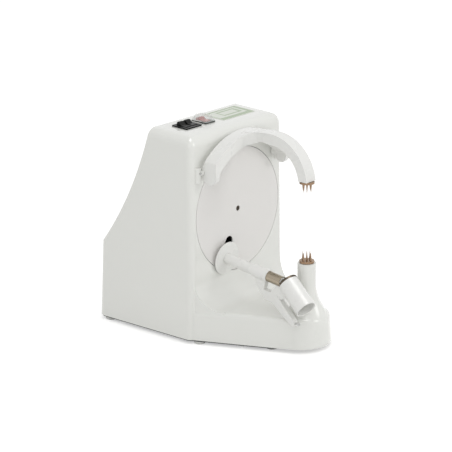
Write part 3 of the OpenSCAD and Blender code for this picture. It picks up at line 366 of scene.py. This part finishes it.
def loose_parts(node):
    """The centre and the lowest and highest corner of each separate solid in a node."""
    mesh = bmesh.new()
    mesh.from_mesh(frame["nodes"][node].data)
    bmesh.ops.remove_doubles(mesh, verts=mesh.verts, dist=WELD)
    waiting = set(mesh.verts)
    parts = []
    while waiting:
        seed = waiting.pop()
        edge, found = [seed], [seed]
        while edge:
            for link in edge.pop().link_edges:
                for vertex in link.verts:
                    if vertex in waiting:
                        waiting.remove(vertex)
                        edge.append(vertex)
                        found.append(vertex)
        low = Vector(min(v.co[i] for v in found) for i in range(3))
        high = Vector(max(v.co[i] for v in found) for i in range(3))
        parts.append(((low + high) / 2, low, high))
    mesh.free()
    return sorted(parts, key=lambda part: tuple(round(value, 5) for value in part[0]))


# ---------------------------------------------------------------- repeated pieces

def new_tree(name, inputs):
    """A Geometry Nodes tree with named size inputs; returns the tree, its input and output nodes."""
    tree = bpy.data.node_groups.new(name, "GeometryNodeTree")
    tree.interface.new_socket("Geometry", in_out="INPUT", socket_type="NodeSocketGeometry")
    for label, kind in inputs:
        tree.interface.new_socket(label, in_out="INPUT", socket_type=kind)
    tree.interface.new_socket("Geometry", in_out="OUTPUT", socket_type="NodeSocketGeometry")
    return tree, tree.nodes.new("NodeGroupInput"), tree.nodes.new("NodeGroupOutput")


def finish_tree(tree, shape, source, output):
    """Ends a tree in real geometry with its finish."""
    real = add_node(tree, "GeometryNodeRealizeInstances", {"Geometry": shape})
    done = add_node(tree, "GeometryNodeSetMaterial",
                    {"Geometry": real.outputs["Geometry"], "Material": source.outputs["Finish"]})
    tree.links.new(done.outputs["Geometry"], output.inputs["Geometry"])


def grow(name, tree, values, places):
    """Runs a tree on a set of points and keeps the result as a plain mesh."""
    points = bpy.data.meshes.new(name)
    points.from_pydata([tuple(place) for place in places], [], [])
    piece = link_mesh(name, points)
    modifier = piece.modifiers.new("Pattern", "NODES")
    modifier.node_group = tree
    sockets = {item.name: item.identifier for item in tree.interface.items_tree
               if item.item_type == "SOCKET" and item.in_out == "INPUT"}
    for label, value in values.items():
        modifier[sockets[label]] = value
    return bake_modifiers(piece)


def foot_tree():
    """Round rubber feet: a short drum with a rounded lower rim, one at each point."""
    tree, source, output = new_tree("Rubber feet", [
        ("Radius", "NodeSocketFloat"), ("Height", "NodeSocketFloat"), ("Rim", "NodeSocketFloat"),
        ("Finish", "NodeSocketMaterial")])
    drum = add_node(tree, "GeometryNodeMeshCylinder", {
        "Vertices": 40, "Radius": source.outputs["Radius"],
        "Depth": calculate(tree, "SUBTRACT", source.outputs["Height"], source.outputs["Rim"])})
    shape, lower = drum.outputs["Mesh"], drum.outputs["Bottom"]
    for step, shrink in RIM_STEPS:
        push = add_node(tree, "GeometryNodeExtrudeMesh", {
            "Mesh": shape, "Selection": lower, "Individual": False,
            "Offset Scale": calculate(tree, "MULTIPLY", source.outputs["Rim"], step)})
        narrow = add_node(tree, "GeometryNodeScaleElements", {
            "Geometry": push.outputs["Mesh"], "Selection": push.outputs["Top"], "Scale": shrink})
        shape, lower = narrow.outputs["Geometry"], push.outputs["Top"]
    copies = add_node(tree, "GeometryNodeInstanceOnPoints", {
        "Points": source.outputs["Geometry"], "Instance": shape})
    finish_tree(tree, copies.outputs["Instances"], source, output)
    return tree


def screw_tree():
    """Pan-head screws with a cross recess, head at each point and shank along +Z."""
    tree, source, output = new_tree("Cross screws", [
        ("Head Radius", "NodeSocketFloat"), ("Head Height", "NodeSocketFloat"),
        ("Shank Radius", "NodeSocketFloat"), ("Shank Length", "NodeSocketFloat"),
        ("Recess Width", "NodeSocketFloat"), ("Finish", "NodeSocketMaterial")])
    head = add_node(tree, "GeometryNodeMeshCylinder", {
        "Vertices": 32, "Radius": source.outputs["Head Radius"], "Depth": source.outputs["Head Height"]})
    push = add_node(tree, "GeometryNodeExtrudeMesh", {
        "Mesh": head.outputs["Mesh"], "Selection": head.outputs["Bottom"], "Individual": False,
        "Offset Scale": calculate(tree, "MULTIPLY", source.outputs["Head Height"], CROWN)})
    crown = add_node(tree, "GeometryNodeScaleElements", {
        "Geometry": push.outputs["Mesh"], "Selection": push.outputs["Top"], "Scale": CROWN_NARROWS})
    shape = crown.outputs["Geometry"]
    recess_place = add_node(tree, "ShaderNodeCombineXYZ", {
        "Z": calculate(tree, "MULTIPLY", source.outputs["Head Height"], -RECESS_SINKS)})
    long_side = calculate(tree, "MULTIPLY", source.outputs["Head Radius"], RECESS_REACH)
    for along in ("X", "Y"):
        across = "Y" if along == "X" else "X"
        size = add_node(tree, "ShaderNodeCombineXYZ", {
            along: long_side, across: source.outputs["Recess Width"], "Z": source.outputs["Head Height"]})
        bar = add_node(tree, "GeometryNodeMeshCube", {"Size": size.outputs["Vector"]})
        lowered = add_node(tree, "GeometryNodeTransform", {
            "Geometry": bar.outputs["Mesh"], "Translation": recess_place.outputs["Vector"]})
        cut = add_node(tree, "GeometryNodeMeshBoolean", {
            "Mesh 1": shape, "Mesh 2": lowered.outputs["Geometry"]}, operation="DIFFERENCE")
        shape = cut.outputs["Mesh"]
    shank = add_node(tree, "GeometryNodeMeshCylinder", {
        "Vertices": 24, "Radius": source.outputs["Shank Radius"], "Depth": source.outputs["Shank Length"]})
    shank_place = add_node(tree, "ShaderNodeCombineXYZ", {
        "Z": calculate(tree, "MULTIPLY", source.outputs["Shank Length"], 0.5)})
    raised = add_node(tree, "GeometryNodeTransform", {
        "Geometry": shank.outputs["Mesh"], "Translation": shank_place.outputs["Vector"]})
    whole = add_node(tree, "GeometryNodeMeshBoolean", operation="UNION")
    tree.links.new(shape, whole.inputs["Mesh 2"])
    tree.links.new(raised.outputs["Geometry"], whole.inputs["Mesh 2"])
    copies = add_node(tree, "GeometryNodeInstanceOnPoints", {
        "Points": source.outputs["Geometry"], "Instance": whole.outputs["Mesh"]})
    finish_tree(tree, copies.outputs["Instances"], source, output)
    return tree


def rib_tree():
    """A row of grip ribs along Y that starts at each point."""
    tree, source, output = new_tree("Grip ribs", [
        ("Count", "NodeSocketInt"), ("Pitch", "NodeSocketFloat"), ("Length", "NodeSocketFloat"),
        ("Radius", "NodeSocketFloat"), ("Finish", "NodeSocketMaterial")])
    step = add_node(tree, "ShaderNodeCombineXYZ", {"Y": source.outputs["Pitch"]})
    row = add_node(tree, "GeometryNodeMeshLine", {
        "Count": source.outputs["Count"], "Offset": step.outputs["Vector"]}, mode="OFFSET")
    rod = add_node(tree, "GeometryNodeMeshCylinder", {
        "Vertices": 12, "Radius": source.outputs["Radius"], "Depth": source.outputs["Length"]})
    laid = add_node(tree, "GeometryNodeTransform", {
        "Geometry": rod.outputs["Mesh"], "Rotation": (0, math.pi / 2, 0)})
    one_row = add_node(tree, "GeometryNodeInstanceOnPoints", {
        "Points": row.outputs["Mesh"], "Instance": laid.outputs["Geometry"]})
    rows = add_node(tree, "GeometryNodeInstanceOnPoints", {
        "Points": source.outputs["Geometry"], "Instance": one_row.outputs["Instances"]})
    finish_tree(tree, rows.outputs["Instances"], source, output)
    return tree


# ---------------------------------------------------------------- settings

class PeelerColours(bpy.types.PropertyGroup):
    """Colours of the mouldings, in linear light."""
    shell: FloatVectorProperty(name="Housing", description="Colour of the housing",
                               subtype="COLOR", size=3, min=0, max=1, default=(0.80, 0.805, 0.77))
    disc: FloatVectorProperty(name="Turntable", description="Colour of the turntable disc",
                              subtype="COLOR", size=3, min=0, max=1, default=(0.80, 0.785, 0.765))
    arm: FloatVectorProperty(name="Arms", description="Colour of the fruit arm and the blade arm",
                             subtype="COLOR", size=3, min=0, max=1, default=(0.82, 0.82, 0.795))
    frame: FloatVectorProperty(name="Switch frame", description="Colour of the power switch's frame",
                               subtype="COLOR", size=3, min=0, max=1, default=(0.7, 0.7, 0.68))
    switch: FloatVectorProperty(name="Switches", description="Colour of the double switch",
                                subtype="COLOR", size=3, min=0, max=1, default=(0.006, 0.0065, 0.006))
    power_rocker: FloatVectorProperty(name="Power rocker", description="Colour of the power rocker",
                                      subtype="COLOR", size=3, min=0, max=1, default=(0.42, 0.05, 0.045))
    stainless: FloatVectorProperty(name="Stainless steel", description="Colour of the sleeve and blade",
                                   subtype="COLOR", size=3, min=0, max=1, default=(0.36, 0.31, 0.24))
    # Its brown tint is a painted reflection of the orange fruit on the holders' steel.
    holder: FloatVectorProperty(name="Fruit holders", description="Colour of the spiked holders",
                                subtype="COLOR", size=3, min=0, max=1, default=(0.30, 0.20, 0.13))
    label_edge: FloatVectorProperty(name="Label edge", description="Clear margin of the label",
                                    subtype="COLOR", size=3, min=0, max=1, default=(0.72, 0.74, 0.68))
    label_band: FloatVectorProperty(name="Label band", description="Printed band of the label",
                                    subtype="COLOR", size=3, min=0, max=1, default=(0.42, 0.50, 0.36))
    label_field: FloatVectorProperty(name="Label field", description="Pale field of the label",
                                     subtype="COLOR", size=3, min=0, max=1, default=(0.70, 0.73, 0.66))


class PeelerSizes(bpy.types.PropertyGroup):
    """Edge radii and small parts."""
    arm_edge: FloatProperty(name="Arm edges", description="Edge radius of the moulded fruit arm",
                            subtype="DISTANCE", default=1.4 * MM, min=0.2 * MM, max=2.5 * MM)
    head_edge: FloatProperty(name="Head edges", description="Edge radius of the moulded blade head",
                             subtype="DISTANCE", default=0.6 * MM, min=0.1 * MM, max=1.2 * MM)
    disc_edge: FloatProperty(name="Turntable rim", description="Edge radius of the turntable's rim",
                             subtype="DISTANCE", default=0.25 * MM, min=0.1 * MM, max=1.5 * MM)
    flange_edge: FloatProperty(name="Flange rim", description="Edge radius of the flange on the arm",
                               subtype="DISTANCE", default=0.7 * MM, min=0.1 * MM, max=0.9 * MM)
    switch_edge: FloatProperty(name="Switch edges", description="Edge radius of the switches",
                               subtype="DISTANCE", default=0.45 * MM, min=0.1 * MM, max=0.8 * MM)
    metal_edge: FloatProperty(name="Metal edges", description="Edge break of the turned parts",
                              subtype="DISTANCE", default=0.25 * MM, min=0.05 * MM, max=0.5 * MM)
    rib_count: IntProperty(name="Grip ribs", description="Ribs on each switch rocker",
                           default=3, min=1, max=5)
    rib_pitch: FloatProperty(name="Rib pitch", description="Distance between the grip ribs",
                             subtype="DISTANCE", default=1.2 * MM, min=0.8 * MM, max=1.6 * MM)
    rib_radius: FloatProperty(name="Rib radius", description="Radius of each grip rib",
                              subtype="DISTANCE", default=0.3 * MM, min=0.15 * MM, max=0.5 * MM)
    rib_inset: FloatProperty(name="Rib inset", description="From the rocker's rear edge to the last rib",
                             subtype="DISTANCE", default=1.4 * MM, min=1 * MM, max=3 * MM)
    rib_sink: FloatProperty(name="Rib depth", description="How far the ribs' axes lie below the rocker's top",
                            subtype="DISTANCE", default=0.4 * MM, min=0.2 * MM, max=1 * MM)
    recess_width: FloatProperty(name="Screw recess", description="Width of the screws' cross recess",
                                subtype="DISTANCE", default=0.9 * MM, min=0.5 * MM, max=1.2 * MM)
    base_shank: FloatProperty(name="Base screw shank", description="Shank radius of the base screws",
                              subtype="DISTANCE", default=1.45 * MM, min=1 * MM, max=2 * MM)
    blade_shank: FloatProperty(name="Blade screw shank", description="Shank radius of the blade screw",
                               subtype="DISTANCE", default=1.5 * MM, min=1 * MM, max=2 * MM)
    blade_screw_head: FloatProperty(name="Blade screw head", description="Head height of the blade screw",
                                    subtype="DISTANCE", default=2 * MM, min=1 * MM, max=3 * MM)


class PeelerStage(bpy.types.PropertyGroup):
    """Camera and lamps."""
    azimuth: FloatProperty(name="Azimuth", description="Camera's direction round the peeler",
                           subtype="ANGLE", default=math.radians(-49.3076))
    elevation: FloatProperty(name="Elevation", description="Camera's height angle",
                             subtype="ANGLE", default=math.radians(17.2374))
    roll: FloatProperty(name="Roll", description="Camera's roll", subtype="ANGLE",
                        default=math.radians(-0.5396))
    distance: FloatProperty(name="Distance", description="Camera's distance from the turntable",
                            subtype="DISTANCE", default=2.80341, min=1, max=6)
    lens: FloatProperty(name="Lens", description="Focal length", subtype="DISTANCE_CAMERA",
                        default=157.965, min=50, max=300)
    aim_right: FloatProperty(name="Aim right", description="Aim to the right of the turntable's centre",
                             subtype="DISTANCE", default=-0.016934)
    aim_up: FloatProperty(name="Aim up", description="Aim above the turntable's centre",
                          subtype="DISTANCE", default=-0.025283)
    room_light: FloatProperty(name="Room light", description="Strength of the even light", default=0.72,
                              min=0, max=2)
    floor_glow: FloatProperty(name="Floor lift", description="Adds to the floor's colour where it is seen",
                              default=0.45, min=0, max=1)
    top_lamp: FloatProperty(name="Top lamp", description="Power of the overhead lamp", subtype="POWER",
                            default=3.6, min=0, max=50)
    gloss_lamp: FloatProperty(name="Gloss lamp", description="Power of the lamp seen in reflections only",
                              subtype="POWER", default=12.0, min=0, max=80)
    side_lamp: FloatProperty(name="Edge lamp", description="Power of the narrow lamp at the front left",
                             subtype="POWER", default=3.2, min=0, max=50)
    front_lamp: FloatProperty(name="Front lamp", description="Power of the lamp at the front right",
                              subtype="POWER", default=7.0, min=0, max=50)


# ---------------------------------------------------------------- pieces

class PEELER_OT_finishes(bpy.types.Operator):
    """Makes the finishes and gives them to the CAD nodes that keep their shape"""
    bl_idname = "peeler.finishes"
    bl_label = "Finishes"

    def execute(self, context):
        make_finishes(context.scene.peeler_colours)
        for node in frame["nodes"]:
            paint_node(node)
        return {"FINISHED"}


class PEELER_OT_shell(bpy.types.Operator):
    """Shades the moulded housing and rounds the mains inlet"""
    bl_idname = "peeler.shell"
    bl_label = "Housing"

    def execute(self, context):
        sizes = context.scene.peeler_sizes
        shell = solid_copy("main_housing", "main_housing_look", flatten=False)
        dress(soften(shell, crease=38.0), ["main_housing"])
        round_nodes({"power_inlet": sizes.switch_edge})
        return {"FINISHED"}


class PEELER_OT_feet_and_screws(bpy.types.Operator):
    """Makes the rubber feet, the base screws and the blade screw"""
    bl_idname = "peeler.feet_and_screws"
    bl_label = "Feet and screws"

    def execute(self, context):
        sizes = context.scene.peeler_sizes
        base_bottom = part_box("base_plate")[0].z
        feet = loose_parts("rubber_feet")
        _, low, high = feet[0]
        height = base_bottom - low.z
        rim = FOOT_RIM * height
        places = [(middle.x, middle.y, low.z + rim + (height - rim) / 2) for middle, _, _ in feet]
        pads = grow("rubber_feet_look", foot_tree(), {
            "Radius": (high.x - low.x) / 2, "Height": height, "Rim": rim,
            "Finish": FINISHES["foot_rubber"]}, places)
        dress(soften(pads), ["rubber_feet"])

        tree = screw_tree()
        screws = loose_parts("base_screws")
        _, low, high = screws[0]
        head = (base_bottom - low.z) / (1 + CROWN)
        places = [(middle.x, middle.y, low.z + CROWN * head + head / 2) for middle, _, _ in screws]
        row = grow("base_screws_look", tree, {
            "Head Radius": (high.x - low.x) / 2, "Head Height": head, "Shank Radius": sizes.base_shank,
            "Shank Length": high.z - places[0][2], "Recess Width": sizes.recess_width,
            "Finish": FINISHES["screw_zinc"]}, places)
        dress(soften(row), ["base_screws"])

        low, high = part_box("blade_screw")
        head = sizes.blade_screw_head / (1 + CROWN)
        screw = grow("blade_screw_look", tree, {
            "Head Radius": (high.x - low.x) / 2, "Head Height": head, "Shank Radius": sizes.blade_shank,
            "Shank Length": high.y - low.y - CROWN * head - head / 2, "Recess Width": sizes.recess_width,
            "Finish": FINISHES["screw_zinc"]}, [(0, 0, 0)])
        place = Vector(((low.x + high.x) / 2, low.y + CROWN * head + head / 2, (low.z + high.z) / 2))
        screw.data.transform(Matrix.Translation(place) @ Matrix.Rotation(-math.pi / 2, 4, "X"))
        dress(soften(screw), ["blade_screw"])
        return {"FINISHED"}


class PEELER_OT_turntable(bpy.types.Operator):
    """Rounds the turntable, its screw and the blade arm"""
    bl_idname = "peeler.turntable"
    bl_label = "Turntable and blade arm"

    def execute(self, context):
        sizes = context.scene.peeler_sizes
        round_nodes({"turntable_disc": sizes.disc_edge, "arm_flange": sizes.flange_edge,
                     "centre_screw": 0.1 * MM, "pivot_sleeve": sizes.metal_edge,
                     "arm_tube": sizes.metal_edge})
        bpy.data.objects["centre_screw_look"].material_slots[0].material = FINISHES["screw_dark"]
        return {"FINISHED"}


class PEELER_OT_head(bpy.types.Operator):
    """Rounds the blade head and the edge of the ring blade"""
    bl_idname = "peeler.head"
    bl_label = "Blade head"

    def execute(self, context):
        sizes = context.scene.peeler_sizes
        round_nodes({"blade_head": sizes.head_edge, "ring_blade": sizes.metal_edge})
        # The ring blade gets the finish with the painted dark reflection.
        bpy.data.objects["ring_blade_look"].material_slots[0].material = FINISHES["blade_edge"]
        return {"FINISHED"}


class PEELER_OT_fruit_arm(bpy.types.Operator):
    """Rounds the yoke with its curved arm, and the spiked holders"""
    bl_idname = "peeler.fruit_arm"
    bl_label = "Fruit arm and holders"

    def execute(self, context):
        sizes = context.scene.peeler_sizes
        round_nodes({"upper_arm": sizes.arm_edge, "upper_holder": sizes.metal_edge,
                     "lower_holder": sizes.metal_edge, "hinge_pins": 0.2 * MM})
        return {"FINISHED"}


class PEELER_OT_switches(bpy.types.Operator):
    """Rounds the switches, adds their grip ribs, and shades the clear cover and the label"""
    bl_idname = "peeler.switches"
    bl_label = "Switches and label"

    def execute(self, context):
        sizes = context.scene.peeler_sizes
        round_nodes({"double_switch_frame": sizes.switch_edge, "power_switch_frame": sizes.switch_edge,
                     "left_rocker": sizes.switch_edge, "right_rocker": sizes.switch_edge,
                     "power_rocker": sizes.switch_edge, "control_label": 0.15 * MM,
                     "splash_cover": 0.3 * MM})
        tree = rib_tree()
        for node in ("left_rocker", "right_rocker"):
            low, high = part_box(node)
            row_depth = (sizes.rib_count - 1) * sizes.rib_pitch
            start = ((low.x + high.x) / 2, high.y - row_depth - sizes.rib_inset, high.z - sizes.rib_sink)
            ribs = grow(node + "_ribs", tree, {
                "Count": sizes.rib_count, "Pitch": sizes.rib_pitch, "Length": RIB_REACH * (high.x - low.x),
                "Radius": sizes.rib_radius, "Finish": FINISHES["switch_black"]}, [start])
            soften(ribs)
            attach(ribs, BODY_OF[node])
        return {"FINISHED"}


# ---------------------------------------------------------------- stage

def seen_directly(tree):
    """1 for rays that show the surroundings as they are: camera, glossy and transmission rays."""
    rays = add_node(tree, "ShaderNodeLightPath").outputs
    reflected = calculate(tree, "MAXIMUM", rays["Is Camera Ray"], rays["Is Glossy Ray"])
    return calculate(tree, "MAXIMUM", reflected, rays["Is Transmission Ray"])


WHITE = (1, 1, 1, 1)
FLOOR_SIZE = 30.0
SENSOR_WIDTH = 36.0

# Each lamp's power setting, its size, its place and the height on the peeler that it faces, in metres
LAMPS = {
    "Top lamp": ("top_lamp", (1.2, 0.2), (-0.2, -0.4, 2.0), 0.1),
    "Gloss lamp": ("gloss_lamp", (1.6, 0.8), (0.1, -0.4, 2.1), 0.1),
    "Edge lamp": ("side_lamp", (0.08, 1.0), (-1.3, -1.1, 0.9), 0.18),
    "Front lamp": ("front_lamp", (0.8, 0.8), (0.9, -2.0, 1.2), 0.1),
}


def area_lamp(name, power, size, place, aim):
    """Adds a rectangular soft lamp at a place, facing a point."""
    light = bpy.data.lights.new(name, "AREA")
    light.shape = "RECTANGLE"
    light.size, light.size_y = size
    light.energy = power
    lamp = bpy.data.objects.new(name, light)
    bpy.context.scene.collection.objects.link(lamp)
    lamp.location = place
    lamp.rotation_euler = (Vector(aim) - Vector(place)).to_track_quat("-Z", "Y").to_euler()


def turntable_face():
    """Centre of the turntable's front face."""
    low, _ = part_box("turntable_disc")
    return Vector((TURNTABLE.x, low.y, TURNTABLE.z))


class PEELER_OT_stage(bpy.types.Operator):
    """Sets the floor, the even room light, the lamps and the camera"""
    bl_idname = "peeler.stage"
    bl_label = "Stage"

    def execute(self, context):
        stage = context.scene.peeler_stage
        scene = context.scene
        scene.view_settings.view_transform = "Standard"

        world = bpy.data.worlds.new("Studio")
        scene.world = world
        world.use_nodes = True
        tree = world.node_tree
        strength = add_node(tree, "ShaderNodeMapRange", {
            "Value": seen_directly(tree), "To Min": stage.room_light, "To Max": 1.0})
        set_inputs(tree, tree.nodes["Background"], {"Color": WHITE, "Strength": strength.outputs["Result"]})

        material, tree, shader = new_material("Studio floor")
        set_inputs(tree, shader, {
            "Base Color": (0.82, 0.82, 0.81, 1), "Roughness": 0.9, "Specular IOR Level": 0.0,
            "Emission Color": WHITE,
            "Emission Strength": calculate(tree, "MULTIPLY", seen_directly(tree), stage.floor_glow)})
        bpy.ops.mesh.primitive_plane_add(size=FLOOR_SIZE, location=(0, 0, 0))
        floor = context.object
        floor.name = "Floor"
        floor.data.materials.append(material)

        for name, (power, size, place, aim_height) in LAMPS.items():
            area_lamp(name, getattr(stage, power), size, place, (0, 0, aim_height))
        bpy.data.objects["Gloss lamp"].visible_diffuse = False

        camera = bpy.data.objects.new("Camera", bpy.data.cameras.new("Camera"))
        scene.collection.objects.link(camera)
        camera.data.sensor_width = SENSOR_WIDTH
        camera.data.lens = stage.lens
        flat = Vector((math.cos(stage.azimuth), math.sin(stage.azimuth), 0))
        back = Vector((math.sin(stage.azimuth) * math.cos(stage.elevation),
                       -math.cos(stage.azimuth) * math.cos(stage.elevation), math.sin(stage.elevation)))
        level = back.cross(flat)
        right = math.cos(stage.roll) * flat + math.sin(stage.roll) * level
        up = math.cos(stage.roll) * level - math.sin(stage.roll) * flat
        aim = turntable_face() + stage.aim_right * right + stage.aim_up * up
        turn = Matrix((right, up, back)).transposed().to_4x4()
        camera.matrix_world = Matrix.Translation(aim + stage.distance * back) @ turn
        scene.camera = camera
        return {"FINISHED"}


class PEELER_PT_panel(bpy.types.Panel):
    """Lists the peeler's pieces and settings"""
    bl_label = "Peeler"
    bl_idname = "PEELER_PT_panel"
    bl_space_type = "VIEW_3D"
    bl_region_type = "UI"
    bl_category = "Peeler"

    def draw(self, context):
        layout = self.layout
        for group in SETTINGS:
            settings = getattr(context.scene, group)
            box = layout.box()
            for name in settings.bl_rna.properties.keys():
                if name not in ("rna_type", "name"):
                    box.prop(settings, name)
        for step in STEPS:
            layout.operator(step.bl_idname)


SETTINGS = {"peeler_colours": PeelerColours, "peeler_sizes": PeelerSizes, "peeler_stage": PeelerStage}
STEPS = (PEELER_OT_finishes, PEELER_OT_shell, PEELER_OT_feet_and_screws, PEELER_OT_turntable,
         PEELER_OT_head, PEELER_OT_fruit_arm, PEELER_OT_switches, PEELER_OT_stage)
CLASSES = (*SETTINGS.values(), *STEPS, PEELER_PT_panel)


def register():
    for item in CLASSES:
        bpy.utils.register_class(item)
    for name, group in SETTINGS.items():
        setattr(bpy.types.Scene, name, PointerProperty(type=group))


def unregister():
    for name in SETTINGS:
        delattr(bpy.types.Scene, name)
    for item in reversed(CLASSES):
        bpy.utils.unregister_class(item)


def main():
    register()
    for step in STEPS:
        group, name = step.bl_idname.split(".")
        getattr(getattr(bpy.ops, group), name)()


if __name__ == "__main__":
    main()
